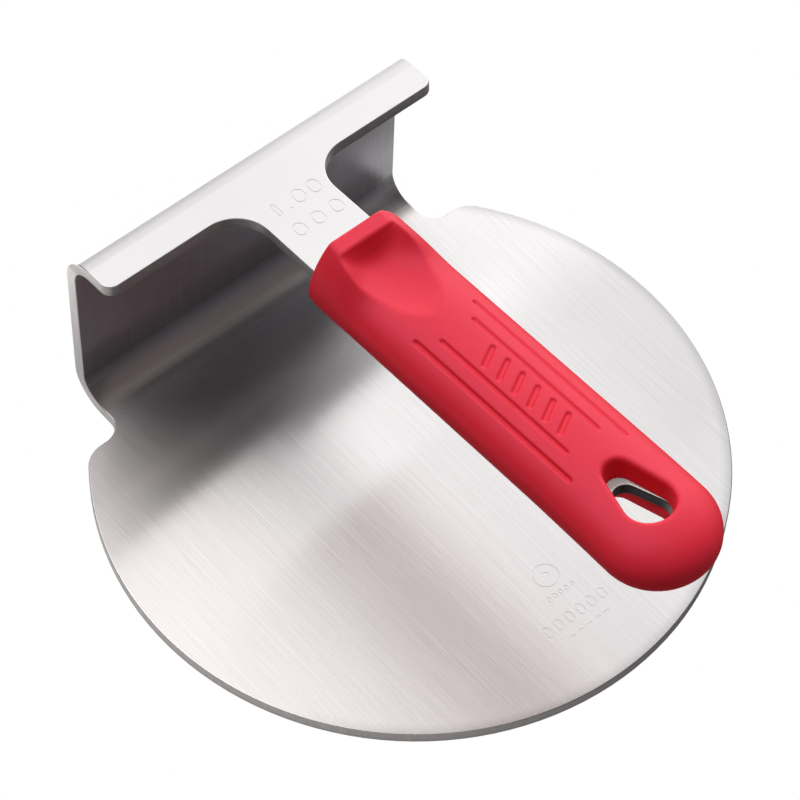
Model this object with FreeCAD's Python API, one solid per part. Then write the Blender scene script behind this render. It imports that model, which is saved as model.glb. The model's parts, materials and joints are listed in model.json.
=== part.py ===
import FreeCAD, Part
import math
import os

# Flat stovetop grill press in two pieces.
# press_plate: one sheet strip, bent twice, forming the round pressing plate,
#   the upright wall, the flange folded over the plate and the long tang.
# handle_sleeve: moulded grip, closed at the tip, that slides over the tang.
#
# Frame, millimetres: origin at the centre of the round plate on its resting
# face, +Z up, +X along the wall, +Y from the handle tip toward the wall.
# The flange, tang and sleeve are drawn in a sloped frame: origin on the
# flange's top face at the wall's inner face, y pointing toward the wall, z
# normal to the flange. A distance s runs from that origin toward the tip,
# so y = -s.

Vector = FreeCAD.Vector

# ---- sheet and round plate ----
plate_radius = 76.2
sheet_t = 3.2
edge_round = 0.3
sharp_limit_deg = 35.0       # edges turning more than this are rounded

# ---- upright wall ----
wall_half_width = 48.5       # the flange is as wide as the wall
wall_inner_y = 63.4          # face toward the plate's centre
wall_outer_y = wall_inner_y + sheet_t
bend_r_in = 6.3              # both bends
bend_r_out = bend_r_in + sheet_t
bend_axis_y = wall_outer_y - bend_r_out

# ---- notches beside the lower bend ----
shoulder_y = 48.4            # straight shoulder where the disc ends
notch_r_in = 5.0             # hollow blend from shoulder into strip edge
notch_r_out = 7.5            # rounded outer corner of the disc

# ---- flange and tang ----
flange_top_z = 55.3          # top face height at wall_inner_y
pitch_deg = 3.85             # rise toward the tip
pitch = math.radians(pitch_deg)
flange_end_s = 13.13
flange_corner_r = 3.0
neck_fillet_r = 9.4          # hollow fillet from flange into tang
tang_half_width = 10.0
tang_end_s = 150.0
tang_slot = (131.3, 3.05, 138.5, 5.40)   # narrow end s, r, wide end s, r

# Full-round ends stop just short of a half circle, leaving a tiny flat.
tang_end_flat = 0.01
mark_end_flat = 0.005

# ---- shallow stamped marks ----
stamp_depth = 0.06
stamp_line = 0.35            # line width of the outlined marks
stamp_cutter_h = 1.0
ring_x, ring_y, ring_r = 1.5, -45.9, 3.1
dot_r = 1.0
# rows on the plate: first x start, x pitch, count, y centre, length, height, hollow
plate_mark_rows = [
    (-2.8, 1.75, 5, -51.4, 1.2, 1.5, True),
    (-9.4, 3.34, 6, -57.7, 2.1, 3.2, True),
    (-5.4, 2.6, 5, -62.0, 1.7, 0.6, False),
]
# marks on the neck of the tang: x start, s centre, length, height, hollow
neck_marks = [
    (-5.6, 19.5, 1.4, 4.2, True), (-2.2, 21.3, 0.7, 0.7, False),
    (0.2, 19.5, 3.2, 4.4, True), (4.7, 19.5, 3.2, 4.4, True),
    (-6.0, 27.5, 3.2, 4.2, True), (-0.6, 27.5, 3.2, 4.2, True),
    (4.8, 27.5, 3.2, 4.2, True),
]

# ---- sleeve: overall sizes, heights measured from the tang's mid-plane ----
mid_plane_z = -sheet_t / 2   # in the sloped frame
fit_gap = 0.12               # between tang and cavity, each side
cavity_end_gap = 0.5
cavity_overshoot = 5.0       # cavity cutter beyond the mouth
mouth_s = 41.9               # open end, nearest the wall
mouth_rim_r = 0.6
tip_axis_s = 141.0           # centre of the rounded tip in plan
tip_half_width = 14.7
tip_last_deg = 85.3          # the skin stops just short of the pole
crown_height = 7.75
crown_power = 2.2            # superellipse exponents of the section
belly_depth = 7.05
belly_power = 2.3

# ---- sleeve: raised guard at the mouth ----
guard_height = 12.0
guard_offset = 0.03          # added to the height before softening
guard_arch_height = 15.2     # arch that the guard height cuts off
guard_arch_power = 1.7
guard_soft = 0.5             # softness of the guard's upper corners

# ---- sleeve: thumb scoop ----
scoop_soft = 0.5             # softness of the scoop's upper edge
scoop_min_dish = 0.4         # least rise from centre line to scoop edge

# ---- sleeve: opening through the tip ----
sleeve_slot = (129.0, 3.30, 137.8, 5.70)   # narrow end s, r, wide end s, r
slot_rim_r = 0.8

# ---- sleeve: grooves and slanted bars pressed into the crown ----
press_depth = 0.5
press_cutter_h = 6.0
press_ref_s = 97.0           # section that sets the depth
groove_w = 1.1
# x, then s of the end-arc centres
groove_lines = [(8.75, 72.8, 122.7), (4.75, 77.0, 117.2),
                (-4.75, 77.0, 117.2), (-8.75, 72.8, 122.7)]
bar_count, bar_pitch, bar_first_s = 6, 4.9, 87.0
bar_len, bar_w, bar_angle = 6.6, 1.25, 62.0

# ---- sleeve: sampling of the skin ----
crown_steps = 60             # points over the whole crown
belly_steps = 18             # points on each half of the belly
rim_rows, mouth_rows, straight_rows, tip_steps = 6, 30, 24, 16
even_rows_s = 72.0           # rows are evenly spaced from here
straight_end_gap = 2.0       # last even row, short of the tip axis
mouth_row_linear, mouth_row_square = 0.35, 0.65   # rows open out gradually

# ---- sleeve: stations as (s, value) ----
# half width in plan
width_stations = [
    (mouth_s, 14.2), (46.0, 14.38), (54.0, 14.4), (90.0, 14.41),
    (115.0, 14.47), (130.0, 14.6), (tip_axis_s, tip_half_width)]
# share of the guard's section in the upper surface
guard_stations = [
    (42.3, 1.0), (46.5, 0.99), (49.5, 0.88), (52.0, 0.645),
    (54.5, 0.34), (57.0, 0.13), (60.0, 0.024), (63.0, 0.0)]
# scoop floor height on the centre line
scoop_floor_stations = [
    (42.3, 13.5), (45.2, 13.0), (46.3, 11.9), (47.3, 9.9),
    (48.5, 8.0), (50.0, 6.9), (52.0, 6.4), (55.0, 6.2),
    (58.0, 6.15), (61.0, 6.3), (64.0, 6.65), (66.5, 7.1),
    (69.6, 7.75), (72.0, 8.4)]
# scoop half width
scoop_width_stations = [
    (42.3, 6.6), (45.4, 6.7), (46.7, 8.0), (48.5, 8.4),
    (50.5, 8.6), (52.3, 8.7), (54.5, 8.4), (57.0, 7.8),
    (60.0, 7.1), (62.0, 6.65), (64.5, 5.9), (67.0, 4.6),
    (69.0, 3.0), (70.3, 1.6), (72.0, 1.2)]


# ---------------------------------------------------------------------------
# Shared helpers
# ---------------------------------------------------------------------------
def to_slope(shape):
    """Move a shape drawn in the sloped frame to its place."""
    slope = FreeCAD.Placement(Vector(0, wall_inner_y, flange_top_z),
                              FreeCAD.Rotation(Vector(1, 0, 0), -pitch_deg))
    shape.Placement = slope.multiply(shape.Placement)
    return shape


def arc(start, middle, end):
    return Part.Arc(start, middle, end).toShape()


def line(start, end):
    return Part.LineSegment(start, end).toShape()


def prism(wire, height):
    return Part.Face(wire).extrude(Vector(0, 0, height))


def rounded_path(points, radii):
    """Closed wire through flat points, with a fillet radius on each corner."""
    count = len(points)
    corners = []             # arc start, arc middle (None if sharp), arc end
    for i in range(count):
        corner = points[i]
        radius = radii[i]
        if radius <= 0:
            corners.append((corner, None, corner))
            continue
        to_last = (points[i - 1] - corner).normalize()
        to_next = (points[(i + 1) % count] - corner).normalize()
        half = to_last.getAngle(to_next) / 2.0
        setback = radius / math.tan(half)
        bisector = (to_last + to_next).normalize()
        middle = corner + bisector * (radius / math.sin(half) - radius)
        corners.append((corner + to_last * setback, middle,
                        corner + to_next * setback))
    edges = []
    for i in range(count):
        start, middle, end = corners[i]
        if middle is not None:
            edges.append(arc(start, middle, end))
        next_start = corners[(i + 1) % count][0]
        if (next_start - end).Length > 1e-6:
            edges.append(line(end, next_start))
    return Part.Wire(edges)


def round_ended(x1, x2, y1, y2, z, height):
    """Prism over a rectangle whose short ends are rounded off."""
    radius = min(x2 - x1, y2 - y1) / 2 - mark_end_flat
    wire = rounded_path([Vector(x1, y1, z), Vector(x2, y1, z),
                         Vector(x2, y2, z), Vector(x1, y2, z)], [radius] * 4)
    return prism(wire, height)


def tapered_slot(slot, z1, z2):
    """Teardrop prism in the sloped frame, from (s, r, s, r) of its ends."""
    narrow_s, narrow_r, wide_s, wide_r = slot

    def point(s, radius, angle):
        # angle 0 points toward the tip
        return Vector(math.sin(angle) * radius, -s - math.cos(angle) * radius, z1)

    touch = math.acos((narrow_r - wide_r) / (wide_s - narrow_s))
    narrow_right = point(narrow_s, narrow_r, touch)
    narrow_left = point(narrow_s, narrow_r, -touch)
    wide_right = point(wide_s, wide_r, touch)
    wide_left = point(wide_s, wide_r, -touch)
    wire = Part.Wire([
        arc(narrow_right, point(narrow_s, narrow_r, math.pi), narrow_left),
        line(narrow_left, wide_left),
        arc(wide_left, point(wide_s, wide_r, 0.0), wide_right),
        line(wide_right, narrow_right)])
    return prism(wire, z2 - z1)


# ---------------------------------------------------------------------------
# press_plate
# ---------------------------------------------------------------------------
def sharp_edges(shape):
    """Edges whose two faces meet at a clear angle."""
    uses = {}
    for face in shape.Faces:
        for edge in face.Edges:
            uses.setdefault(edge.hashCode(), []).append((edge, face))
    found = []
    for pairs in uses.values():
        if len(pairs) != 2:
            continue
        edge = pairs[0][0]
        if edge.Length < 1e-4:
            continue
        middle = edge.valueAt(0.5 * (edge.FirstParameter + edge.LastParameter))
        normals = []
        for _, face in pairs:
            u, v = face.Surface.parameter(middle)
            normals.append(face.normalAt(u, v))
        if math.degrees(normals[0].getAngle(normals[1])) > sharp_limit_deg:
            found.append(edge)
    return found


def round_plate():
    """Disc cut off at the shoulders, with the strip stub up to the bend."""
    def polar(centre_x, centre_y, radius, angle):
        return Vector(centre_x + radius * math.cos(angle),
                      centre_y + radius * math.sin(angle), 0)

    def mirror(point):
        return Vector(-point.x, point.y, point.z)

    # outer corner arc, tangent to the disc's rim and to the shoulder
    corner_y = shoulder_y - notch_r_out
    corner_x = math.sqrt((plate_radius - notch_r_out) ** 2 - corner_y * corner_y)
    rim_angle = math.atan2(corner_y, corner_x)
    rim = polar(0, 0, plate_radius, rim_angle)
    corner_mid = polar(corner_x, corner_y, notch_r_out,
                       0.5 * (rim_angle + math.pi / 2))
    shoulder = Vector(corner_x, shoulder_y, 0)
    # inner blend from the shoulder to the strip's edge
    blend_x = wall_half_width + notch_r_in
    blend_y = shoulder_y + notch_r_in
    blend_start = Vector(blend_x, shoulder_y, 0)
    blend_mid = polar(blend_x, blend_y, notch_r_in, 1.25 * math.pi)
    blend_end = Vector(wall_half_width, blend_y, 0)
    strip_end = Vector(wall_half_width, bend_axis_y, 0)

    wire = Part.Wire([
        arc(mirror(rim), Vector(0, -plate_radius, 0), rim),
        arc(rim, corner_mid, shoulder),
        line(shoulder, blend_start),
        arc(blend_start, blend_mid, blend_end),
        line(blend_end, strip_end),
        line(strip_end, mirror(strip_end)),
        line(mirror(strip_end), mirror(blend_end)),
        arc(mirror(blend_end), mirror(blend_mid), mirror(blend_start)),
        line(mirror(blend_start), mirror(shoulder)),
        arc(mirror(shoulder), mirror(corner_mid), mirror(rim)),
    ])
    return prism(wire, sheet_t)


def bends_and_wall(flange_start_s):
    """Lower bend, wall and upper bend, from a profile in the YZ plane."""
    lower_z = bend_r_out
    upper_z = (flange_top_z + flange_start_s * math.sin(pitch)
               - bend_r_out * math.cos(pitch))

    def point(axis_z, radius, angle):
        return Vector(-wall_half_width, bend_axis_y + radius * math.cos(angle),
                      axis_z + radius * math.sin(angle))

    def bend(axis_z, radius, start, end):
        return arc(point(axis_z, radius, start),
                   point(axis_z, radius, (start + end) / 2),
                   point(axis_z, radius, end))

    down = -math.pi / 2
    flange_angle = math.pi / 2 - pitch
    profile = Part.Wire([
        bend(lower_z, bend_r_out, down, 0),
        line(point(lower_z, bend_r_out, 0), point(upper_z, bend_r_out, 0)),
        bend(upper_z, bend_r_out, 0, flange_angle),
        line(point(upper_z, bend_r_out, flange_angle),
             point(upper_z, bend_r_in, flange_angle)),
        bend(upper_z, bend_r_in, flange_angle, 0),
        line(point(upper_z, bend_r_in, 0), point(lower_z, bend_r_in, 0)),
        bend(lower_z, bend_r_in, 0, down),
        line(point(lower_z, bend_r_in, down), point(lower_z, bend_r_out, down)),
    ])
    return Part.Face(profile).extrude(Vector(2 * wall_half_width, 0, 0))


def flange_and_tang(flange_start_s):
    outline = [
        # x, s, corner radius
        (-wall_half_width, flange_start_s, 0),
        (wall_half_width, flange_start_s, 0),
        (wall_half_width, flange_end_s, flange_corner_r),
        (tang_half_width, flange_end_s, neck_fillet_r),
        (tang_half_width, tang_end_s, tang_half_width - tang_end_flat),
        (-tang_half_width, tang_end_s, tang_half_width - tang_end_flat),
        (-tang_half_width, flange_end_s, neck_fillet_r),
        (-wall_half_width, flange_end_s, flange_corner_r),
    ]
    wire = rounded_path([Vector(x, -s, 0) for x, s, _ in outline],
                        [radius for _, _, radius in outline])
    flat = prism(wire, -sheet_t)
    return to_slope(flat.cut(tapered_slot(tang_slot, -sheet_t - 1, 1)))


def pill(x_start, y_centre, length, height, hollow, z):
    """Cutter for a round-ended mark, solid or drawn as an outline."""
    def inset_by(gap):
        return round_ended(x_start + gap, x_start + length - gap,
                           y_centre - height / 2 + gap,
                           y_centre + height / 2 - gap, z, stamp_cutter_h)
    cutter = inset_by(0.0)
    if hollow:
        cutter = cutter.cut(inset_by(stamp_line))
    return cutter


def stamp_cutters():
    """Ring, dot and rows of pills on the plate; pills on the neck."""
    floor_z = sheet_t - stamp_depth

    def disc(radius):
        return Part.makeCylinder(radius, stamp_cutter_h,
                                 Vector(ring_x, ring_y, floor_z))

    cutters = [disc(ring_r + stamp_line / 2).cut(disc(ring_r - stamp_line / 2)),
               disc(dot_r)]
    for x_first, x_pitch, count, y_centre, length, height, hollow in plate_mark_rows:
        for i in range(count):
            cutters.append(pill(x_first + x_pitch * i, y_centre, length, height,
                                hollow, floor_z))
    for x_start, s_centre, length, height, hollow in neck_marks:
        cutters.append(to_slope(pill(x_start, -s_centre, length, height,
                                     hollow, -stamp_depth)))
    return Part.makeCompound(cutters)


def build_press_plate():
    # s where the upper bend runs out into the flat flange; s is negative
    # toward the wall, so the drawing uses the opposite sign of this y
    flange_start_y = ((wall_inner_y - bend_axis_y - bend_r_out * math.sin(pitch))
                      / math.cos(pitch))
    body = round_plate().fuse([bends_and_wall(flange_start_y),
                               flange_and_tang(flange_start_y)])
    body = body.removeSplitter()
    body = body.makeFillet(edge_round, sharp_edges(body))
    return body.cut(stamp_cutters()).Solids[0]


# ---------------------------------------------------------------------------
# handle_sleeve
# ---------------------------------------------------------------------------
def value_at(stations, s):
    """Monotone cubic interpolation through (s, value) stations."""
    if s <= stations[0][0]:
        return stations[0][1]
    if s >= stations[-1][0]:
        return stations[-1][1]
    count = len(stations)
    gaps = [stations[i + 1][0] - stations[i][0] for i in range(count - 1)]
    slopes = [(stations[i + 1][1] - stations[i][1]) / gaps[i]
              for i in range(count - 1)]
    tangents = [0.0] * count
    for i in range(1, count - 1):
        if slopes[i - 1] * slopes[i] > 0:
            weight_1 = 2 * gaps[i] + gaps[i - 1]
            weight_2 = gaps[i] + 2 * gaps[i - 1]
            tangents[i] = ((weight_1 + weight_2)
                           / (weight_1 / slopes[i - 1] + weight_2 / slopes[i]))
    i = next(i for i in range(count - 1) if s <= stations[i + 1][0])
    t = (s - stations[i][0]) / gaps[i]
    return ((1 + 2 * t) * (1 - t) ** 2 * stations[i][1]
            + t * (1 - t) ** 2 * gaps[i] * tangents[i]
            + t * t * (3 - 2 * t) * stations[i + 1][1]
            + t * t * (t - 1) * gaps[i] * tangents[i + 1])


def half_width(s):
    return value_at(width_stations, s)


def superellipse(u, height, power):
    """Height of the arch at u, from 0 at its centre to 1 at its foot."""
    return height * (1 - u ** power) ** (1 / power)


def soft_min(a, b, softness):
    return 0.5 * (a + b - math.sqrt((a - b) ** 2 + softness ** 2))


def unscooped_height(x, s):
    """Upper surface before the thumb scoop."""
    u = min(1.0, abs(x) / half_width(s))
    main = superellipse(u, crown_height, crown_power)
    arch = superellipse(u, guard_arch_height, guard_arch_power)
    guard = max(0.0, soft_min(arch, guard_height + guard_offset, guard_soft))
    return main + (guard - main) * value_at(guard_stations, s)


def upper_height(x, s):
    """Upper surface with the scoop, dished out to its own half width."""
    scoop_half = value_at(scoop_width_stations, s)
    centre = value_at(scoop_floor_stations, s)
    rise = max(scoop_min_dish, unscooped_height(scoop_half, s) - centre)
    floor = centre + rise * (abs(x) / scoop_half) ** 2
    return soft_min(unscooped_height(x, s), floor, scoop_soft)


def section(s):
    """Closed loop of (x, height) at s: from the belly centre round the -x
    side, over the crown and back round the +x side. Past the tip axis the
    profile is turned about the tang's normal, which rounds the end."""
    past = max(0.0, s - tip_axis_s)
    full = half_width(s)
    half = math.sqrt(full * full - past * past)

    def belly_point(x):
        u = min(1.0, math.hypot(x, past) / full)
        return (x, -superellipse(u, belly_depth, belly_power))

    belly_x = [half * math.sin(0.5 * math.pi * j / belly_steps)
               for j in range(belly_steps)]
    loop = [belly_point(-x) for x in belly_x]
    for j in range(crown_steps + 1):
        x = -half * math.cos(math.pi * j / crown_steps)
        height = 0.0
        if 0 < j < crown_steps:
            height = max(0.0, upper_height(math.hypot(x, past), s))
        loop.append((x, height))
    loop += [belly_point(x) for x in reversed(belly_x)]
    return loop


def inset(loop, distance):
    """Closed loop moved toward its inside."""
    points = loop[:-1]
    moved = []
    for i, (x, height) in enumerate(points):
        before = points[i - 1]
        after = points[(i + 1) % len(points)]
        run_x = after[0] - before[0]
        run_h = after[1] - before[1]
        length = math.hypot(run_x, run_h)
        moved.append((x + distance * run_h / length,
                      height - distance * run_x / length))
    return moved + moved[:1]


def skin(rows):
    """Solid from rows of (s, loop): one smooth face and two flat caps."""
    surface = Part.BSplineSurface()
    surface.interpolate([[Vector(x, -s, mid_plane_z + height)
                          for x, height in loop] for s, loop in rows])
    face = surface.toShape()
    caps = []
    for s in (rows[0][0], rows[-1][0]):
        for edge in face.Edges:
            first, last = edge.FirstParameter, edge.LastParameter
            if all(abs(edge.valueAt(at).y + s) < 1e-5
                   for at in (first, 0.5 * (first + last))):
                caps.append(Part.Face(Part.Wire([edge])))
    shell = Part.Shell([face] + caps)
    shell.sewShape(1e-5)
    solid = Part.Solid(shell)
    if solid.Volume < 0:
        solid.reverse()
    return solid


def sleeve_rows():
    # rounded rim of the mouth
    rim_s = mouth_s + mouth_rim_r
    rim_loop = section(rim_s)
    rows = []
    for k in range(rim_rows):
        angle = math.pi / 2 * k / rim_rows
        rows.append((rim_s - mouth_rim_r * math.cos(angle),
                     inset(rim_loop, mouth_rim_r - mouth_rim_r * math.sin(angle))))
    rows.append((rim_s, rim_loop))

    stations = []
    # guard and thumb scoop
    for k in range(1, mouth_rows + 1):
        t = k / mouth_rows
        stations.append(rim_s + (even_rows_s - rim_s)
                        * (mouth_row_linear * t + mouth_row_square * t * t))
    # straight run
    step = (tip_axis_s - straight_end_gap - even_rows_s) / straight_rows
    for k in range(1, straight_rows + 1):
        stations.append(even_rows_s + step * k)
    # rounded tip
    for k in range(tip_steps + 1):
        angle = math.radians(tip_last_deg) * k / tip_steps
        stations.append(tip_axis_s + tip_half_width * math.sin(angle))
    return rows + [(s, section(s)) for s in stations]


def slot_rims(body):
    """Edges of the slot's openings, top and bottom."""
    narrow_s, narrow_r, wide_s, wide_r = sleeve_slot
    rims = []
    for edge in body.Edges:
        box = edge.BoundBox
        if (box.YMax < -narrow_s + narrow_r + 0.05
                and box.YMin > -wide_s - wide_r - 0.05
                and max(abs(box.XMin), abs(box.XMax)) < wide_r + 0.05
                and box.ZMax - box.ZMin < 2.0 and edge.Length > 0.5):
            rims.append(edge)
    return rims


def press_cutter(x, s, length, width, angle_deg):
    """Round-ended cutter at (x, s), length along the tang at angle 0."""
    u = abs(x) / half_width(press_ref_s)
    crown_z = mid_plane_z + superellipse(u, crown_height, crown_power)
    cutter = round_ended(-width / 2, width / 2, -length / 2, length / 2,
                         0, press_cutter_h)
    cutter.rotate(Vector(0, 0, 0), Vector(0, 0, 1), angle_deg)
    cutter.translate(Vector(x, -s, crown_z - press_depth))
    return cutter


def tang_cavity():
    half = tang_half_width + fit_gap
    start_y = -mouth_s + cavity_overshoot
    end_y = -(tang_end_s + cavity_end_gap)
    end_r = half - tang_end_flat
    wire = rounded_path([Vector(-half, start_y, 0), Vector(half, start_y, 0),
                         Vector(half, end_y, 0), Vector(-half, end_y, 0)],
                        [0, 0, end_r, end_r])
    cavity = prism(wire, sheet_t + 2 * fit_gap)
    cavity.translate(Vector(0, 0, -sheet_t - fit_gap))
    return cavity


def build_handle_sleeve():
    body = skin(sleeve_rows())
    body = body.cut(tapered_slot(sleeve_slot, -14, 12))
    body = body.makeFillet(slot_rim_r, slot_rims(body))
    for x, s1, s2 in groove_lines:
        body = body.cut(press_cutter(x, (s1 + s2) / 2, s2 - s1 + groove_w,
                                     groove_w, 0))
    for i in range(bar_count):
        body = body.cut(press_cutter(0, bar_first_s + i * bar_pitch,
                                     bar_len, bar_w, bar_angle))
    return to_slope(body.cut(tang_cavity())).Solids[0]


os.makedirs("parts", exist_ok=True)
build_press_plate().exportStep(os.path.join("parts", "press_plate.step"))
build_handle_sleeve().exportStep(os.path.join("parts", "handle_sleeve.step"))
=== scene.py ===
# A round steel press: a flat disc around the origin, a wall bent up at its +Y
# side, a flange on top of the wall and a tang running from it toward -Y. A red
# silicone grip with a hanging opening slides over the tang.
# World frame: metres, +Z up. The grip is modelled in its own millimetre frame.
import json
import math
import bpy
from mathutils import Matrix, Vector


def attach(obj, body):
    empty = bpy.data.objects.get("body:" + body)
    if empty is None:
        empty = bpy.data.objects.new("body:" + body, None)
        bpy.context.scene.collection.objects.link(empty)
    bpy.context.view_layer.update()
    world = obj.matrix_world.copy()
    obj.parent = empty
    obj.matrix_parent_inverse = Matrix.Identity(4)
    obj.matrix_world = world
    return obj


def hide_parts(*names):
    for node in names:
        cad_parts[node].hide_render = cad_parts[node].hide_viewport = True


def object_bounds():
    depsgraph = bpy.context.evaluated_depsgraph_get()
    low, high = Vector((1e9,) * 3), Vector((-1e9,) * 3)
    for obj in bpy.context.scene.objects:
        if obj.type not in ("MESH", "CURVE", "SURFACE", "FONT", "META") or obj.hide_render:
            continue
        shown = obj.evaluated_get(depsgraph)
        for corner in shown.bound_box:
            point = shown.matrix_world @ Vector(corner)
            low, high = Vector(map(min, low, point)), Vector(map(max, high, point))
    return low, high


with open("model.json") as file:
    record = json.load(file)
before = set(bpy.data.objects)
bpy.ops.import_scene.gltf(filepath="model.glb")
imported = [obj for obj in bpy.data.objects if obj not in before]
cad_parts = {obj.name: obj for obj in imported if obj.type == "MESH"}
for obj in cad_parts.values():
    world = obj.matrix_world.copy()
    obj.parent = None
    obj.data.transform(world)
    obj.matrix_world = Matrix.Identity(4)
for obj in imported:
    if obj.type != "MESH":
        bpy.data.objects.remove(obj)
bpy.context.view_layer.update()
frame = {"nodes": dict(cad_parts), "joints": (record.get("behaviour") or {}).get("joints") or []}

from types import SimpleNamespace

import bpy
import numpy as np
from mathutils import Matrix, Vector

scene = bpy.context.scene

# ---------------------------------------------------------------------------
# grip frame, mm: x across, y down the tang from the wall toward the tip,
# z up along the tang normal from the tang's middle plane
# ---------------------------------------------------------------------------
joint = [j for j in frame["joints"] if j["name"] == "sleeve_slide"][0]
TANG_AXIS = np.array(joint["axis"], float)
TANG_AXIS /= np.linalg.norm(TANG_AXIS)
ACROSS = np.array([1.0, 0.0, 0.0])
NORMAL = np.cross(TANG_AXIS, ACROSS)
NORMAL /= np.linalg.norm(NORMAL)
if NORMAL[2] < 0:
    NORMAL = -NORMAL

GRIP_START = 41.9        # y of the end facing the wall
TIP_CENTRE = 141.0       # y where the rounded tip begins
CROWN = 7.75             # height of the body above the middle plane
BELLY = 7.05             # depth of the body below it
GUARD_DOME = 15.2        # height of the guard before its top is cut flat
GUARD_TOP = 12.0         # height of that flat top
TOP_POWER = 2.2          # superellipse exponent of the upper half

sleeve_mesh = frame["nodes"]["handle_sleeve"].data
sleeve_points = np.zeros(len(sleeve_mesh.vertices) * 3)
sleeve_mesh.vertices.foreach_get("co", sleeve_points)
sleeve_points = sleeve_points.reshape(-1, 3)
sleeve_start = (sleeve_points @ TANG_AXIS).min()
sleeve_bottom = (sleeve_points @ NORMAL).min()


def to_world(points):
    """Grip frame in mm to the world frame in metres."""
    return (np.outer(points[:, 0] * 1e-3, ACROSS)
            + np.outer(sleeve_start + (points[:, 1] - GRIP_START) * 1e-3, TANG_AXIS)
            + np.outer(sleeve_bottom + (points[:, 2] + BELLY) * 1e-3, NORMAL))


# ---------------------------------------------------------------------------
# grip profiles and cuts
# ---------------------------------------------------------------------------
def smooth_curve(knots):
    """Monotone cubic through (position, value) knots, tabulated finely."""
    place, value = np.array(knots, float).T
    gap = np.diff(place)
    rise = np.diff(value) / gap
    slope = np.zeros(len(place))
    for i in range(1, len(place) - 1):
        if rise[i - 1] * rise[i] > 0:
            before = 2 * gap[i] + gap[i - 1]
            after = gap[i] + 2 * gap[i - 1]
            slope[i] = (before + after) / (before / rise[i - 1] + after / rise[i])
    grid = np.linspace(place[0], place[-1], 4001)
    i = np.clip(np.searchsorted(place, grid, side="right") - 1, 0, len(place) - 2)
    t = (grid - place[i]) / gap[i]
    curve = ((1 + 2 * t) * (1 - t) ** 2 * value[i]
             + t * (1 - t) ** 2 * gap[i] * slope[i]
             + t * t * (3 - 2 * t) * value[i + 1]
             + t * t * (t - 1) * gap[i] * slope[i + 1])
    return lambda y: np.interp(y, grid, curve)


# each knot is (y, value); guard share is 1 in the raised guard, 0 in the body
guard_share = smooth_curve([
    (42.3, 1.0), (46.5, 0.99), (49.5, 0.88), (52.0, 0.645),
    (54.5, 0.34), (57.0, 0.13), (60.0, 0.024), (63.0, 0.0)])
half_width = smooth_curve([
    (41.9, 14.2), (46.0, 14.38), (54.0, 14.4), (90.0, 14.41),
    (115.0, 14.44), (130.0, 14.54), (141.0, 14.6)])
# the moulding sits a touch toward -x of the tang, more so toward the tip
drift = smooth_curve([
    (41.9, 0.05), (46.0, 0.22), (50.0, 0.22), (57.0, 0.15), (90.0, 0.13),
    (115.0, 0.11), (130.0, 0.22), (141.0, 0.42), (150.0, 0.70), (156.0, 0.8)])
scoop_floor = smooth_curve([
    (42.3, 13.5), (45.2, 13.0), (46.3, 11.9), (47.3, 9.9), (48.5, 8.0),
    (50.0, 6.9), (52.0, 6.4), (55.0, 6.2), (58.0, 6.15), (61.0, 6.3),
    (64.0, 6.65), (66.5, 7.1), (69.6, 7.75), (72.0, 8.4)])
scoop_half = smooth_curve([
    (42.3, 6.6), (45.4, 6.7), (46.7, 8.0), (48.5, 8.4), (50.5, 8.6),
    (52.3, 8.7), (54.5, 8.4), (57.0, 7.8), (60.0, 7.1), (62.0, 6.65),
    (64.5, 5.9), (67.0, 4.6), (69.0, 3.0), (70.3, 1.6), (72.0, 1.2)])

# hanging opening: narrow end y, radius, wide end y, radius
HOLE_OUTER = (128.9, 3.6, 137.8, 5.85)
HOLE_TANG = (129.3, 3.05, 138.0, 5.3)
HOLE_TANG_Z, HOLE_FLARE = 1.7, 5.3       # where the flare starts, its height
HOLE_BLEND = 1.404
# long half-round grooves: x, y of both ends
GROOVES = [(8.75, 72.8, 121.6), (4.75, 77.0, 116.9),
           (-4.75, 77.0, 117.2), (-8.75, 72.8, 122.7)]
GROOVE_RADIUS = 0.55
# slanted flat-bottomed bars between the grooves
BAR_START, BAR_PITCH, BAR_COUNT = 87.0, 4.9, 6
BAR_LENGTH, BAR_WIDTH, BAR_DEPTH = 6.6, 1.25, 0.5
BAR_ANGLE = math.radians(62.0)
CROWN_HALF_WIDTH = 14.42
# tang cavity: half width, half height, y of its round end
CAVITY_HALF, CAVITY_HEIGHT, CAVITY_END = 10.12, 1.72, 150.5
SLOPE_STEP = 0.02        # finite difference step inside the field


def smooth_max(a, b, blend):
    near = np.maximum(blend - np.abs(a - b), 0.0) / blend
    return np.maximum(a, b) + near * near * blend * 0.25


def dome(x, half, height, power):
    """Superelliptic height at x."""
    share = np.minimum(np.abs(x) / half, 1.0)
    return height * (1 - share ** power) ** (1 / power)


def crown(x):
    return dome(x, CROWN_HALF_WIDTH, CROWN, TOP_POWER)


def body_top(x, y):
    """Height of the moulding above the middle plane, without the scoop."""
    body = dome(x, half_width(y), CROWN, TOP_POWER)
    raised = dome(x, half_width(y), GUARD_DOME, 1.7)
    return body + (np.minimum(raised, GUARD_TOP) - body) * guard_share(y)


def shell(x, y, z):
    """Superelliptic body, positive outside, not yet a distance."""
    x = x + drift(y)
    plan = np.hypot(x, np.maximum(0.0, y - TIP_CENTRE)) / half_width(y)
    guard = guard_share(y)
    upper = z >= 0
    height = np.where(upper, CROWN + (GUARD_DOME - CROWN) * guard, BELLY)
    power = np.where(upper, TOP_POWER - 0.5 * guard, 2.3)
    rise = np.abs(z) / height
    return (np.maximum(plan ** power + rise ** power, 1e-9)) ** (1 / power) - 1.0


def segment_distance(x, y, x0, y0, x1, y1):
    run_x, run_y = x1 - x0, y1 - y0
    t = ((x - x0) * run_x + (y - y0) * run_y) / (run_x * run_x + run_y * run_y)
    t = np.clip(t, 0, 1)
    return np.hypot(x - x0 - t * run_x, y - y0 - t * run_y)


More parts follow.
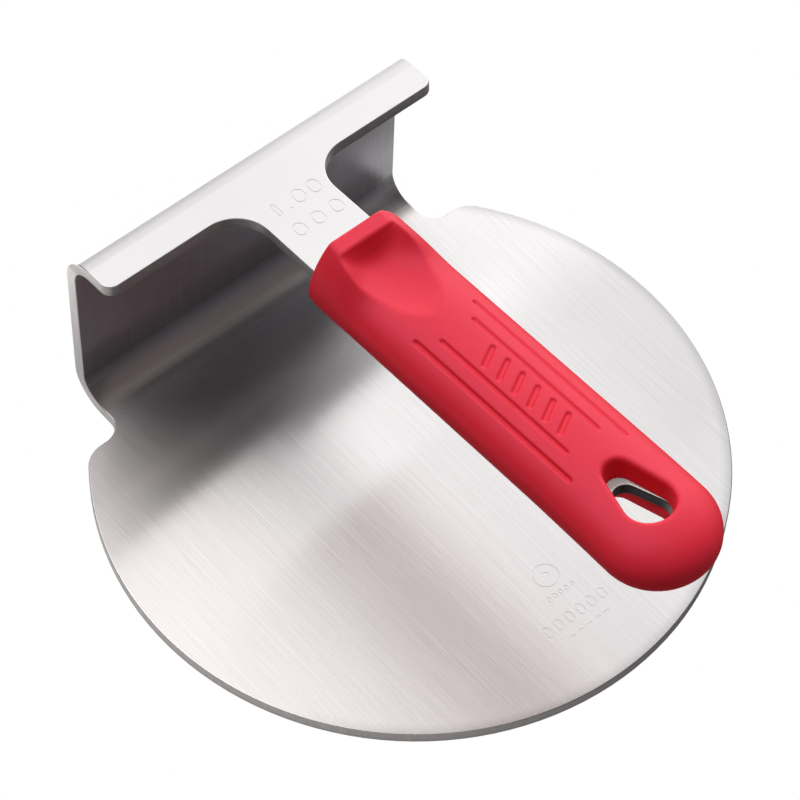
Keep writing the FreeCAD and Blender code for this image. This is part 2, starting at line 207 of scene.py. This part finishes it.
def teardrop(x, y, narrow_y, narrow, wide_y, wide):
    """Signed distance in plan to a slot with two round ends of unlike radius."""
    length = wide_y - narrow_y
    sine = (narrow - wide) / length
    cosine = math.sqrt(1 - sine * sine)
    x, y = np.abs(x), y - narrow_y
    zone = -sine * x + cosine * y
    dist = x * cosine + y * sine - narrow
    dist = np.where(zone < 0, np.hypot(x, y) - narrow, dist)
    return np.where(zone > cosine * length, np.hypot(x, y - length) - wide, dist)


def scoop_height(x, y):
    """Dished floor of the scoop, meeting the body at the scoop's half width."""
    half = scoop_half(y)
    low = scoop_floor(y)
    share = np.abs(x + drift(y)) / half
    rise = np.maximum(0.4, body_top(half, y) - low)
    return low + rise * share * share


def body_distance(x, y, z):
    e = SLOPE_STEP
    slope_x = (shell(x + e, y, z) - shell(x - e, y, z)) / (2 * e)
    slope_y = (shell(x, y + e, z) - shell(x, y - e, z)) / (2 * e)
    slope_z = (shell(x, y, z + e) - shell(x, y, z - e)) / (2 * e)
    steep = np.sqrt(slope_x * slope_x + slope_y * slope_y + slope_z * slope_z)
    return shell(x, y, z) / np.maximum(steep, 0.03)


def scoop_distance(x, y, z):
    e = SLOPE_STEP
    slope_x = (scoop_height(x + e, y) - scoop_height(x - e, y)) / (2 * e)
    slope_y = (scoop_height(x, y + e) - scoop_height(x, y - e)) / (2 * e)
    return (z - scoop_height(x, y)) / np.sqrt(1 + slope_x * slope_x + slope_y * slope_y)


def engrave(dist, cutter, z):
    """Cuts a shallow mark into the upper side only."""
    return smooth_max(dist, np.where(z > 2, -cutter, -5.0), blend=0.32)


def engrave_marks(dist, x, y, z):
    for x0, y0, y1 in GROOVES:
        cutter = np.hypot(segment_distance(x, y, x0, y0, x0, y1),
                          z - crown(x0)) - GROOVE_RADIUS
        dist = engrave(dist, cutter, z)
    half = (BAR_LENGTH - BAR_WIDTH) / 2
    run_x, run_y = math.sin(BAR_ANGLE) * half, math.cos(BAR_ANGLE) * half
    for i in range(BAR_COUNT):
        y0 = BAR_START + BAR_PITCH * i
        cutter = segment_distance(x, y, -run_x, y0 + run_y, run_x, y0 - run_y) \
            - BAR_WIDTH / 2
        cutter = smooth_max(cutter, (crown(x) - BAR_DEPTH) - z, blend=0.5)
        dist = engrave(dist, cutter, z)
    return dist


def field(points):
    """Approximate signed distance to the grip surface, negative inside."""
    x, y, z = points[..., 0], points[..., 1], points[..., 2]
    dist = body_distance(x, y, z)
    # flat top of the guard, lifted clear where the guard fades out
    flat = GUARD_TOP + 1.6 * np.clip(1 - guard_share(y), 0, 1)
    dist = smooth_max(dist, z - flat, blend=0.6)
    dist = smooth_max(dist, scoop_distance(x, y, z), blend=0.5)
    # rim facing the wall
    dist = smooth_max(dist, GRIP_START - y, blend=0.7)
    # hanging opening, flaring from the tang to the outside
    flare = np.clip((np.abs(z) - HOLE_TANG_Z) / HOLE_FLARE, 0.0, 1.0)
    hole = teardrop(x, y, *HOLE_TANG)
    hole = hole + (teardrop(x, y, *HOLE_OUTER) - hole) * flare
    dist = smooth_max(dist, -hole, HOLE_BLEND)
    dist = engrave_marks(dist, x, y, z)
    # cavity for the tang
    cavity = segment_distance(x, y, 0.0, 0.0, 0.0, CAVITY_END - CAVITY_HALF) \
        - CAVITY_HALF
    cavity = smooth_max(cavity, np.abs(z) - CAVITY_HEIGHT, blend=0.2)
    return smooth_max(dist, -cavity, blend=0.3)


# ---------------------------------------------------------------------------
# meshing of the field
# ---------------------------------------------------------------------------
def grid_lines(spans, coarse):
    """Grid lines from (start, end, spacing) spans."""
    out = [spans[0][0]]
    for start, end, spacing in spans:
        count = max(1, int(round((end - start) / (spacing * coarse))))
        out += list(start + (end - start) * (np.arange(count) + 1) / count)
    return np.array(out)


def surface_nets(grid_x, grid_y, grid_z):
    """One vertex per crossed cell, one quad per crossed grid edge."""
    points = np.stack(np.meshgrid(grid_x, grid_y, grid_z, indexing="ij"), -1)
    values = np.empty(points.shape[:3])
    for i in range(len(grid_x)):
        values[i] = field(points[i])
    values = np.where(np.abs(values) < 1e-7, 1e-7, values)
    inside = values < 0
    size = values.shape
    corners = [(a, b, c) for a in (0, 1) for b in (0, 1) for c in (0, 1)]

    count = sum(inside[tuple(slice(o, n - 1 + o) for o, n in zip(corner, size))]
                .astype(np.int8) for corner in corners)
    active = (count > 0) & (count < 8)
    index = np.full(active.shape, -1, np.int64)
    index[active] = np.arange(active.sum())
    cells = np.argwhere(active)
    total = np.zeros((len(cells), 3))
    crossings = np.zeros(len(cells))
    for corner in corners:
        for axis in range(3):
            if corner[axis]:
                continue
            other = list(corner)
            other[axis] = 1
            start = tuple((cells + np.array(corner)).T)
            end = tuple((cells + np.array(other)).T)
            at_start, at_end = values[start], values[end]
            crossed = (at_start < 0) != (at_end < 0)
            t = np.where(crossed, at_start / np.where(crossed, at_start - at_end, 1.0), 0.0)
            hit = points[start] + (points[end] - points[start]) * t[:, None]
            total += np.where(crossed[:, None], hit, 0.0)
            crossings += crossed
    quads = []
    for axis, (u, v) in enumerate([(1, 2), (2, 0), (0, 1)]):
        step = np.eye(3, dtype=int)
        ahead = step[axis]
        first = inside[:size[0] - ahead[0], :size[1] - ahead[1], :size[2] - ahead[2]]
        second = inside[ahead[0]:, ahead[1]:, ahead[2]:]
        edges = np.argwhere(first != second)
        edges = edges[(edges[:, u] > 0) & (edges[:, v] > 0)
                      & (edges[:, u] < size[u] - 1) & (edges[:, v] < size[v] - 1)]
        around = [step[u] + step[v], step[v], 0 * ahead, step[u]]
        quad = np.stack([index[tuple((edges - back).T)] for back in around], 1)
        flip = ~first[tuple(edges.T)]
        quad[flip] = quad[flip][:, ::-1]
        quads.append(quad)
    return total / crossings[:, None], np.concatenate(quads)


def gradient(points, step=0.03):
    out = np.empty_like(points)
    for k in range(3):
        offset = np.zeros(3)
        offset[k] = step
        out[:, k] = (field(points + offset) - field(points - offset)) / (2 * step)
    return out


def relax(verts, quads, rounds):
    """Slides vertices along the surface toward even spacing, and pulls them
    back on to it."""
    i = quads.ravel()
    j = np.roll(quads, 1, axis=1).ravel()
    for turn in range(rounds):
        if turn:
            total = np.zeros_like(verts)
            for k in range(3):
                total[:, k] = np.bincount(i, verts[j, k], len(verts)) \
                    + np.bincount(j, verts[i, k], len(verts))
            count = np.bincount(i, minlength=len(verts)) \
                + np.bincount(j, minlength=len(verts))
            step = total / count[:, None] - verts
            grad = gradient(verts)
            unit = grad / np.maximum(np.linalg.norm(grad, axis=1), 1e-9)[:, None]
            step -= (step * unit).sum(1)[:, None] * unit
            verts = verts + 0.5 * step
        for _ in range(2):
            grad = gradient(verts)
            steep = np.maximum((grad * grad).sum(1), 0.2)
            move = -(field(verts) / steep)[:, None] * grad
            length = np.linalg.norm(move, axis=1)
            move *= np.minimum(1.0, 0.25 / np.maximum(length, 1e-9))[:, None]
            verts = verts + move
    return verts


# grid spans, finer at the marks and the rims: start, end, spacing
SPANS_X = [(0.0, 3.6, 0.32), (3.6, 5.9, 0.24), (5.9, 7.9, 0.36),
           (7.9, 9.6, 0.24), (9.6, 16.1, 0.52)]      # mirrored to -x
SPANS_Y = [(40.9, 60.0, 0.38), (60.0, 71.0, 0.50), (71.0, 124.0, 0.42),
           (124.0, 146.5, 0.36), (146.5, 157.1, 0.50)]
SPANS_Z = [(-7.9, -2.4, 0.8), (-2.4, 2.4, 0.55), (2.4, 8.2, 0.30),
           (8.2, 12.9, 0.42)]
GRID_SHIFT = (0.013, 0.017, 0.031)       # keeps grid lines off flat faces


def build_grip():
    coarse = 1.07
    right = grid_lines(SPANS_X, coarse)
    grid_x = np.concatenate([-right[:0:-1], right]) + GRID_SHIFT[0]
    grid_y = grid_lines(SPANS_Y, coarse) + GRID_SHIFT[1]
    grid_z = grid_lines(SPANS_Z, coarse) + GRID_SHIFT[2]
    verts, quads = surface_nets(grid_x, grid_y, grid_z)
    verts = relax(verts, quads, rounds=4)
    mesh = bpy.data.meshes.new("handle_sleeve_skin")
    mesh.from_pydata(to_world(verts).tolist(), [], quads.tolist())
    mesh.validate()
    mesh.update()
    mesh.polygons.foreach_set("use_smooth", [True] * len(mesh.polygons))
    obj = bpy.data.objects.new("silicone_grip", mesh)
    scene.collection.objects.link(obj)
    return obj


# ---------------------------------------------------------------------------
# shader graph helper
# ---------------------------------------------------------------------------
class Graph:
    """Short calls for adding nodes; an input is a socket or a plain value."""

    def __init__(self, owner):
        owner.use_nodes = True
        self.tree = owner.node_tree
        self.tree.nodes.clear()

    def node(self, kind, ins=None, **props):
        node = self.tree.nodes.new(kind)
        for key, value in props.items():
            setattr(node, key, value)
        for key, value in (ins or {}).items():
            if isinstance(value, bpy.types.NodeSocket):
                self.tree.links.new(value, node.inputs[key])
            else:
                node.inputs[key].default_value = value
        return node

    def math(self, op, *values):
        return self.node("ShaderNodeMath", dict(enumerate(values)), operation=op).outputs[0]

    def mul(self, first, *rest):
        for factor in rest:
            first = self.math("MULTIPLY", first, factor)
        return first

    def add(self, a, b):
        return self.math("ADD", a, b)

    def sub(self, a, b):
        return self.math("SUBTRACT", a, b)

    def mul_add(self, value, factor, offset):
        return self.math("MULTIPLY_ADD", value, factor, offset)

    def vary(self, value, mask, amount, base=1.0):
        """value * (base + amount * mask)"""
        return self.mul(value, self.mul_add(mask, amount, base))

    def vmath(self, op, *values, out="Vector"):
        node = self.node("ShaderNodeVectorMath", dict(enumerate(values)), operation=op)
        return node.outputs[out]

    def ramp(self, value, start, end, first=0.0, last=1.0, kind="SMOOTHSTEP"):
        """Goes from first to last as value goes from start to end."""
        return self.node("ShaderNodeMapRange", {
            "Value": value, "From Min": start, "From Max": end,
            "To Min": first, "To Max": last}, interpolation_type=kind).outputs[0]

    def noise(self, point, frequency, detail=2.0, roughness=0.5):
        return self.node("ShaderNodeTexNoise", {
            "Vector": self.vmath("MULTIPLY", point, frequency), "Scale": 1.0,
            "Detail": detail, "Roughness": roughness},
            noise_dimensions="3D").outputs["Fac"]

    def split(self, vector):
        return tuple(self.node("ShaderNodeSeparateXYZ", {0: vector}).outputs)

    def join(self, x, y, z):
        return self.node("ShaderNodeCombineXYZ", {0: x, 1: y, 2: z}).outputs[0]

    def shade(self, color, tone):
        return self.vmath("MULTIPLY", color, self.join(tone, tone, tone))

    def object_point(self):
        return self.node("ShaderNodeTexCoord").outputs["Object"]

    def mix_shader(self, factor, first, second):
        return self.node("ShaderNodeMixShader", {0: factor, 1: first, 2: second}).outputs[0]

    def emission(self, strength):
        return self.node("ShaderNodeEmission", {
            "Color": (1, 1, 1, 1), "Strength": strength}).outputs[0]

    def lobes(self, direction, table):
        """Sum of strength * exp(sharpness * (cosine - 1))."""
        total = 0.0
        for centre, sharpness, strength in table:
            centre = np.array(centre, float)
            centre = centre / np.linalg.norm(centre)
            dot = self.vmath("DOT_PRODUCT", direction, tuple(centre), out="Value")
            glow = self.math("EXPONENT", self.mul_add(dot, sharpness, -sharpness))
            total = self.mul_add(glow, strength, total)
        return total


# ---------------------------------------------------------------------------
# brushed steel
# ---------------------------------------------------------------------------
FACE_COLOR, EDGE_COLOR = (0.533, 0.525, 0.525), (0.54, 0.51, 0.50)
FACE_ROUGH, BEND_ROUGH, EDGE_ROUGH = 0.235, 0.43, 0.40
FACE_ANISO, BEND_ANISO = 0.94, 0.30
GRAIN_WALL, GRAIN_PLATE, GRAIN_FLANGE = 0.65, 0.26, 0.05   # line contrast
RIM_SHADE_START, RIM_SHADE_END, RIM_SHADE_LOSS = 0.0731, 0.0761, 0.27     # disc rim radii, strength of the painted shade at the rim
BAND_X, BAND_HALF = 0.0070, 0.0125       # painted light band on the plate, centred on x = -BAND_X
TANG_TOP = float(sleeve_bottom + (BELLY + 1.6) * 1e-3)     # along the normal
PLATE_TOP = 0.0032


def steel_places(graph):
    """Position, normal and masks (0 to 1) for the parts of the steel."""
    at = SimpleNamespace(point=graph.object_point())
    at.normal = graph.node("ShaderNodeNewGeometry").outputs["Normal"]
    at.x, at.y, at.z = graph.split(at.point)
    at.nx, at.ny, at.nz = graph.split(at.normal)
    # cut faces: turned to +-X anywhere, or upright on the -Y side of the wall
    side = graph.ramp(graph.math("ABSOLUTE", at.nx), start=0.55, end=0.8)
    upright = graph.mul(graph.ramp(graph.math("ABSOLUTE", at.nz), start=0.8, end=0.6),
                        graph.ramp(at.y, start=0.0570, end=0.0560))
    at.edge = graph.math("MAXIMUM", side, upright)
    at.wall = graph.ramp(graph.math("ABSOLUTE", at.ny), start=0.45, end=0.8)
    at.high = graph.ramp(at.z, start=0.049, end=0.051)
    at.plate = graph.ramp(at.z, start=0.0090, end=0.0050)
    return at


def brushed_streaks(graph, at):
    """Long lines along Y and Z: fine, middle and wide ones in set shares."""
    fine = graph.noise(at.point, frequency=(4200.0, 62.0, 62.0), detail=1.0)
    middle = graph.noise(at.point, frequency=(1500.0, 30.0, 30.0), roughness=0.6)
    wide = graph.noise(at.point, frequency=(260.0, 14.0, 14.0))
    return graph.add(graph.mul(fine, 0.55),
                     graph.add(graph.mul(middle, 0.38), graph.mul(wide, 0.07)))


def face_color(graph, at, streak, grain):
    """Brightness of the faces: grain, painted light and shade region by region, and a slight
    warmth.
    """
    ramp, mul, vary, mul_add = graph.ramp, graph.mul, graph.vary, graph.mul_add
    x, y, z = at.x, at.y, at.z
    tone = mul_add(graph.sub(streak, 0.5), grain, 1.0)
    cloud = graph.noise(at.point, frequency=(30.0, 18.0, 18.0))
    tone = mul(tone, ramp(cloud, start=0.3, end=0.7, first=0.985, last=1.01, kind="LINEAR"))
    # painted shade: the plate darkens toward the disc's rim, where the real rim rolls over and
    # loses light
    radius = graph.vmath("LENGTH", graph.join(x, y, 0.0), out="Value")
    roll = graph.math("POWER", ramp(radius, RIM_SHADE_START, RIM_SHADE_END, kind="LINEAR"), 1.5)
    roll = mul(roll, ramp(z, start=0.006, end=0.005), ramp(x, start=-0.070, end=-0.050))
    tone = vary(tone, roll, amount=-RIM_SHADE_LOSS)
    # painted shade and light: duller toward +X on the plate, brighter toward +X on the wall
    plate_painted_shade = mul(ramp(x, start=0.012, end=0.064), ramp(y, start=-0.060, end=-0.034),
               ramp(z, start=0.0120, end=0.0050), graph.sub(1.0, at.wall))
    wall_painted_light = mul(at.wall, ramp(x, start=0.005, end=0.035))
    tone = vary(tone, plate_painted_shade, amount=-0.19, base=mul_add(wall_painted_light, 0.50, 1.0))
    # painted light on the plate: a lighter band under the grip, lighter at +X +Y; painted shade
    # at +X -Y
    off = mul_add(x, 1 / BAND_HALF, BAND_X / BAND_HALF)
    plate_painted_band = graph.math("EXPONENT", mul(off, off, -1.0))
    plate_painted_band = mul(plate_painted_band, ramp(y, start=0.0520, end=0.0380))
    far_painted_light = mul(ramp(x, start=0.030, end=0.048), ramp(y, start=0.004, end=0.030))
    near = mul(ramp(x, start=0.015, end=0.050), ramp(y, start=-0.035, end=-0.060))
    plate_painted_sheen = mul_add(plate_painted_band, 0.25, mul_add(far_painted_light, 0.22, mul(near, -0.12)))
    tone = mul(tone, graph.add(mul(plate_painted_sheen, at.plate), 1.0))
    # painted shade on the upper faces of the flange, a little darker; painted light on its
    # underside, much brighter
    flange_top_painted_shade = mul(at.high, ramp(x, start=-0.070, end=0.0), ramp(at.nz, start=0.80, end=0.95))
    tone = vary(tone, flange_top_painted_shade, amount=-0.06)
    flange_under_painted_light = mul(at.high, ramp(at.nz, start=-0.30, end=-0.80))
    tone = vary(tone, flange_under_painted_light, amount=0.65)
    # painted highlight: a paler, warmer run-out of the lower bend into the plate;
    # warmer plate toward -X; cooler wall below the flange
    bend_painted_highlight = mul(ramp(y, start=0.0515, end=0.0575), ramp(z, start=0.0065, end=0.0045))
    left = mul(ramp(x, start=-0.020, end=-0.050), at.plate)
    lower_wall = mul(ramp(z, start=0.0480, end=0.0440), at.wall)
    red = mul_add(bend_painted_highlight, 0.05, mul_add(left, 0.025, 1.01))
    blue = mul_add(bend_painted_highlight, -0.04, mul_add(left, -0.02, mul_add(lower_wall, 0.05, 0.995)))
    tone = vary(tone, bend_painted_highlight, amount=0.14)
    # painted shade inside the lower bend and on the inner face of the wall
    curve = mul(ramp(y, start=0.0525, end=0.0575), ramp(z, start=0.0130, end=0.0080),
                ramp(at.nz, start=0.02, end=0.20))
    tone = vary(tone, curve, amount=-0.37)
    wall_painted_shade = mul(at.wall, ramp(at.ny, start=-0.4, end=-0.7))
    tone = vary(tone, wall_painted_shade, amount=-0.10)
    face = graph.vmath("MULTIPLY", FACE_COLOR, graph.join(red, 1.0, blue))
    return graph.shade(face, tone)


def edge_color(graph, at, grit):
    """Sheared thickness: brighter upper part; darker lower part, partly the torn zone of the
    shear and partly painted shade.
    """
    ramp, mul, vary = graph.ramp, graph.mul, graph.vary
    cut = graph.vmath("MULTIPLY", EDGE_COLOR, (1.0, 1.0, 1.0))
    tone = ramp(grit, start=0.3, end=0.7, first=0.90, last=1.07, kind="LINEAR")
    # depth below the upper face, of the tang or of the plate
    along_normal = graph.vmath("DOT_PRODUCT", at.point, tuple(NORMAL), out="Value")
    below = graph.sub(TANG_TOP, along_normal)
    raised = ramp(at.z, start=0.0045, end=0.0050)
    depth = graph.add(mul(raised, below),
                      mul(graph.sub(1.0, raised), graph.sub(PLATE_TOP, at.z)))
    # the lower part of the cut edge is darker: partly torn steel, partly painted shade along its
    # lower line
    tone = vary(tone, ramp(depth, start=0.0018, end=0.0021), amount=-0.14, base=1.03)
    # painted shade on the wall of the hanging slot, where the grip around it blocks the light
    slot_painted_shade = mul(ramp(at.y, start=-0.062, end=-0.063),
               ramp(graph.math("ABSOLUTE", at.x), start=0.0085, end=0.0075), raised)
    tone = vary(tone, slot_painted_shade, amount=-0.78)
    # painted shade on the -X flank of the neck
    flank_painted_shade = mul(ramp(at.nx, start=-0.10, end=-0.50),
                ramp(at.x, start=-0.052, end=-0.046), at.high)
    tone = vary(tone, flank_painted_shade, amount=-0.5)
    return graph.shade(cut, tone)


def leaned_normal(graph, at):
    """Leans the normal over inside the lower bend, moving its light streak down."""
    ramp, mul = graph.ramp, graph.mul
    lean = mul(ramp(at.y, start=0.0528, end=0.0578), ramp(at.y, start=0.0633, end=0.0598),
               ramp(at.nz, start=0.05, end=0.25), ramp(at.z, start=0.0100, end=0.0080),
               mul(graph.sub(1.0, at.edge), 0.34))
    over = graph.join(0.0, mul(at.nz, -1.0, lean), mul(at.ny, lean))
    return graph.vmath("NORMALIZE", graph.vmath("ADD", at.normal, over))


def steel_material():
    mat = bpy.data.materials.new("brushed_stainless")
    graph = Graph(mat)
    ramp, mul, mul_add, sub = graph.ramp, graph.mul, graph.mul_add, graph.sub
    at = steel_places(graph)
    streak = brushed_streaks(graph, at)
    # lines show on the wall, faintly on the plate, hardly on the flange
    grain = mul_add(at.high, GRAIN_FLANGE - GRAIN_PLATE, GRAIN_PLATE)
    grain = graph.math("MAXIMUM", grain, mul(at.wall, GRAIN_WALL))
    face = face_color(graph, at, streak, grain)
    grit = graph.noise(at.point, frequency=(900.0, 900.0, 260.0), detail=3.0, roughness=0.6)
    base = graph.node("ShaderNodeMix", {0: at.edge, 6: face, 7: edge_color(graph, at, grit)},
                      data_type="RGBA").outputs[2]

    # the stretched inside of the lower bend is rougher
    rough = mul_add(sub(streak, 0.5), mul(grain, 0.08), FACE_ROUGH)
    bend = mul(ramp(at.y, start=0.0500, end=0.0590), ramp(at.z, start=0.0200, end=0.0080))
    rough = mul_add(bend, BEND_ROUGH - FACE_ROUGH, rough)
    rough = graph.add(mul(rough, sub(1.0, at.edge)), mul(at.edge, EDGE_ROUGH))
    aniso = mul(sub(1.0, at.edge), mul_add(bend, BEND_ANISO - FACE_ANISO, FACE_ANISO))

    height = graph.add(mul(streak, sub(1.0, at.edge)), mul(grit, mul(at.edge, 2.0)))
    bump = graph.node("ShaderNodeBump", {
        "Strength": 0.12, "Normal": leaned_normal(graph, at),
        "Distance": 0.00002, "Height": height})
    shader = graph.node("ShaderNodeBsdfPrincipled", {
        "Base Color": base, "Metallic": 1.0, "Roughness": rough,
        "Anisotropic": aniso, "Normal": bump.outputs[0],
        "Tangent": graph.join(1.0, 0.0, 0.0)})
    graph.node("ShaderNodeOutputMaterial", {0: shader.outputs[0]})
    return mat


# ---------------------------------------------------------------------------
# red silicone
# ---------------------------------------------------------------------------
RUBBER_COLOR, RUBBER_ROUGH = (0.93, 0.023, 0.041), 0.5
RUBBER_CLEAR = 0.50      # share let through in reflections


def rubber_material():
    mat = bpy.data.materials.new("red_silicone")
    graph = Graph(mat)
    point = graph.object_point()
    cloud = graph.noise(point, frequency=(60.0, 60.0, 60.0), detail=3.0)
    tone = graph.ramp(cloud, start=0.3, end=0.7, first=0.975, last=1.02, kind="LINEAR")
    base = graph.shade(RUBBER_COLOR, tone)
    fine = graph.noise(point, frequency=(5200.0, 5200.0, 5200.0))
    soft = graph.noise(point, frequency=(700.0, 700.0, 700.0))
    height = graph.add(graph.mul(fine, 0.6), graph.mul(soft, 0.4))
    bump = graph.node("ShaderNodeBump", {
        "Strength": 0.3, "Distance": 0.00003, "Height": height})
    rough = graph.ramp(soft, start=0.3, end=0.7, first=RUBBER_ROUGH - 0.03,
                       last=RUBBER_ROUGH + 0.03, kind="LINEAR")
    # painted shade: sides are duller than the top, with specular cut on faces turned sideways
    facing_up = graph.split(graph.node("ShaderNodeNewGeometry").outputs["Normal"])[2]
    specular = graph.ramp(facing_up, start=0.1, end=0.85, first=0.08, last=0.50)
    shader = graph.node("ShaderNodeBsdfPrincipled", {
        "Base Color": base, "Metallic": 0.0, "Roughness": rough, "IOR": 1.5,
        "Specular IOR Level": specular, "Specular Tint": (0.80, 0.58, 0.90, 1.0),
        "Subsurface Weight": 0.05, "Subsurface Radius": (1.0, 0.18, 0.12),
        "Subsurface Scale": 0.0012, "Normal": bump.outputs[0]})
    # half clear to reflections, so the steel shows less of the red
    clear = graph.node("ShaderNodeBsdfTransparent", {"Color": (1, 1, 1, 1)})
    share = graph.mul(RUBBER_CLEAR, graph.node("ShaderNodeLightPath").outputs["Is Glossy Ray"])
    both = graph.mix_shader(share, shader.outputs[0], clear.outputs[0])
    graph.node("ShaderNodeOutputMaterial", {0: both})
    return mat


# ---------------------------------------------------------------------------
# pieces
# ---------------------------------------------------------------------------
steel = steel_material()
rubber = rubber_material()

plate = frame["nodes"]["press_plate"]
plate.data.materials.clear()
plate.data.materials.append(steel)

grip = build_grip()
grip.data.materials.append(rubber)
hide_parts("handle_sleeve")
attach(grip, "sleeve")

# ---------------------------------------------------------------------------
# world: soft studio surround, plain white to the camera
# ---------------------------------------------------------------------------
# soft lobes: direction, sharpness, strength
LOBES = [
    ((0.000, 0.000, 1.000), 24, 0.550), ((-0.100, 0.327, 0.940), 24, 3.591),
    ((-0.333, 0.077, 0.940), 24, 0.134), ((0.100, -0.327, 0.940), 24, 0.355),
    ((0.438, 0.470, 0.766), 24, 0.553), ((0.078, 0.638, 0.766), 24, 0.907),
    ((-0.312, 0.562, 0.766), 24, 2.392), ((-0.078, -0.638, 0.766), 24, 0.332),
    ((0.312, -0.562, 0.766), 24, 0.034), ((0.583, -0.272, 0.766), 24, 0.029),
    ((0.631, 0.123, 0.766), 24, 1.026), ((0.000, 0.883, 0.469), 20, 0.108),
    ((0.249, -0.847, 0.469), 20, 0.006), ((0.667, -0.578, 0.469), 20, 0.206),
    ((0.874, -0.126, 0.469), 20, 0.399), ((0.803, 0.367, 0.469), 20, 3.103),
    ((0.477, 0.743, 0.469), 20, 1.245), ((0.340, -0.934, 0.104), 12, 0.124),
    ((0.979, 0.173, 0.104), 12, 0.777), ((0.639, 0.762, 0.104), 12, 2.116),
    ((0.390, 0.420, 0.820), 60, 0.107), ((0.480, 0.500, 0.720), 60, 0.284),
    ((0.600, 0.420, 0.680), 60, 0.409)]
# more lobes, seen by reflections only
REFLECTED_LOBES = [
    ((-0.660, -0.660, 0.360), 11, 0.950), ((-0.950, 0.000, 0.280), 9, 0.700),
    ((-0.300, -0.940, 0.160), 14, 0.200), ((0.780, -0.600, 0.160), 16, 0.300)]
FILL_COLOR, FILL_STRENGTH = (0.62, 0.38, 1.0, 1.0), 0.028      # faint violet


def build_world():
    world = bpy.data.worlds.new("studio")
    scene.world = world
    graph = Graph(world)
    direction = graph.vmath("NORMALIZE",
                            graph.node("ShaderNodeTexCoord").outputs["Generated"])
    total = graph.lobes(direction, LOBES)
    path = graph.node("ShaderNodeLightPath")
    camera_ray = path.outputs["Is Camera Ray"]
    reflected = graph.lobes(direction, REFLECTED_LOBES)
    total = graph.mul_add(reflected, path.outputs["Is Glossy Ray"], total)
    strength = graph.add(graph.mul(total, graph.sub(1.0, camera_ray)), camera_ray)
    studio = graph.node("ShaderNodeBackground", {"Strength": strength})
    fill = graph.node("ShaderNodeBackground", {
        "Color": FILL_COLOR,
        "Strength": graph.mul(graph.sub(1.0, camera_ray), FILL_STRENGTH)})
    both = graph.node("ShaderNodeAddShader", {0: studio.outputs[0], 1: fill.outputs[0]})
    graph.node("ShaderNodeOutputWorld", {0: both.outputs[0]})


build_world()

# ---------------------------------------------------------------------------
# floor
# ---------------------------------------------------------------------------
FLOOR_HALF, FLOOR_GAP = 6.0, 0.0002
FLOOR_COLOR = (0.38, 0.38, 0.38, 1)
# glow seen by reflections: falls off along a direction, within limits
GLOW_DIRECTION = (0.73, -0.68, 0.0)
GLOW_LEVEL, GLOW_SLOPE = 0.438, 4.1      # at the origin, loss per metre
GLOW_MIN, GLOW_MAX = 0.137, 1.19


def floor_material():
    """Diffuse to light, glowing to reflections, plain white to the camera."""
    mat = bpy.data.materials.new("floor_white")
    graph = Graph(mat)
    path = graph.node("ShaderNodeLightPath")
    point = graph.node("ShaderNodeNewGeometry").outputs["Position"]
    diffuse = graph.node("ShaderNodeBsdfDiffuse", {"Color": FLOOR_COLOR})
    fall = graph.vmath("DOT_PRODUCT", point, GLOW_DIRECTION, out="Value")
    glow = graph.mul_add(fall, -GLOW_SLOPE, GLOW_LEVEL)
    glow = graph.math("MINIMUM", graph.math("MAXIMUM", glow, GLOW_MIN), GLOW_MAX)
    # brighter beyond the wall
    y = graph.split(point)[1]
    glow = graph.add(glow, graph.ramp(y, start=0.075, end=0.13, first=0.0, last=1.5))
    shine = graph.emission(glow)
    white = graph.emission(1.0)
    lit = graph.mix_shader(path.outputs["Is Glossy Ray"], diffuse.outputs[0], shine)
    seen = graph.mix_shader(path.outputs["Is Camera Ray"], lit, white)
    graph.node("ShaderNodeOutputMaterial", {0: seen})
    return mat


floor_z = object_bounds()[0][2] - FLOOR_GAP
floor_mesh = bpy.data.meshes.new("floor")
floor_mesh.from_pydata([(x * FLOOR_HALF, y * FLOOR_HALF, floor_z)
                        for x, y in ((-1, -1), (1, -1), (1, 1), (-1, 1))],
                       [], [(0, 1, 2, 3)])
floor = bpy.data.objects.new("floor", floor_mesh)
scene.collection.objects.link(floor)
floor_mesh.materials.append(floor_material())

# ---------------------------------------------------------------------------
# camera
# ---------------------------------------------------------------------------
CAMERA_PLACE = (-0.29968, -0.31740, 0.65389)
azimuth, elevation, roll = (math.radians(a) for a in (-42.951, 55.259, 2.783))
back = Vector((math.sin(azimuth) * math.cos(elevation),
               -math.cos(azimuth) * math.cos(elevation), math.sin(elevation)))
level_right = (-back).cross(Vector((0, 0, 1))).normalized()
level_up = level_right.cross(-back)
right = math.cos(roll) * level_right + math.sin(roll) * level_up
up = -math.sin(roll) * level_right + math.cos(roll) * level_up

camera = bpy.data.objects.new("camera", bpy.data.cameras.new("camera"))
camera.data.sensor_width = 36.0
camera.data.lens = 148.83885
camera.data.shift_x, camera.data.shift_y = -0.000625, 0.000625
camera.data.clip_start, camera.data.clip_end = 0.02, 50
turn = Matrix((right, up, back)).transposed()
camera.matrix_world = Matrix.Translation(CAMERA_PLACE) @ turn.to_4x4()
scene.collection.objects.link(camera)
scene.camera = camera

scene.view_settings.view_transform = "Standard"
scene.view_settings.look = "None"
scene.view_settings.exposure = 0.0
scene.view_settings.gamma = 1.0
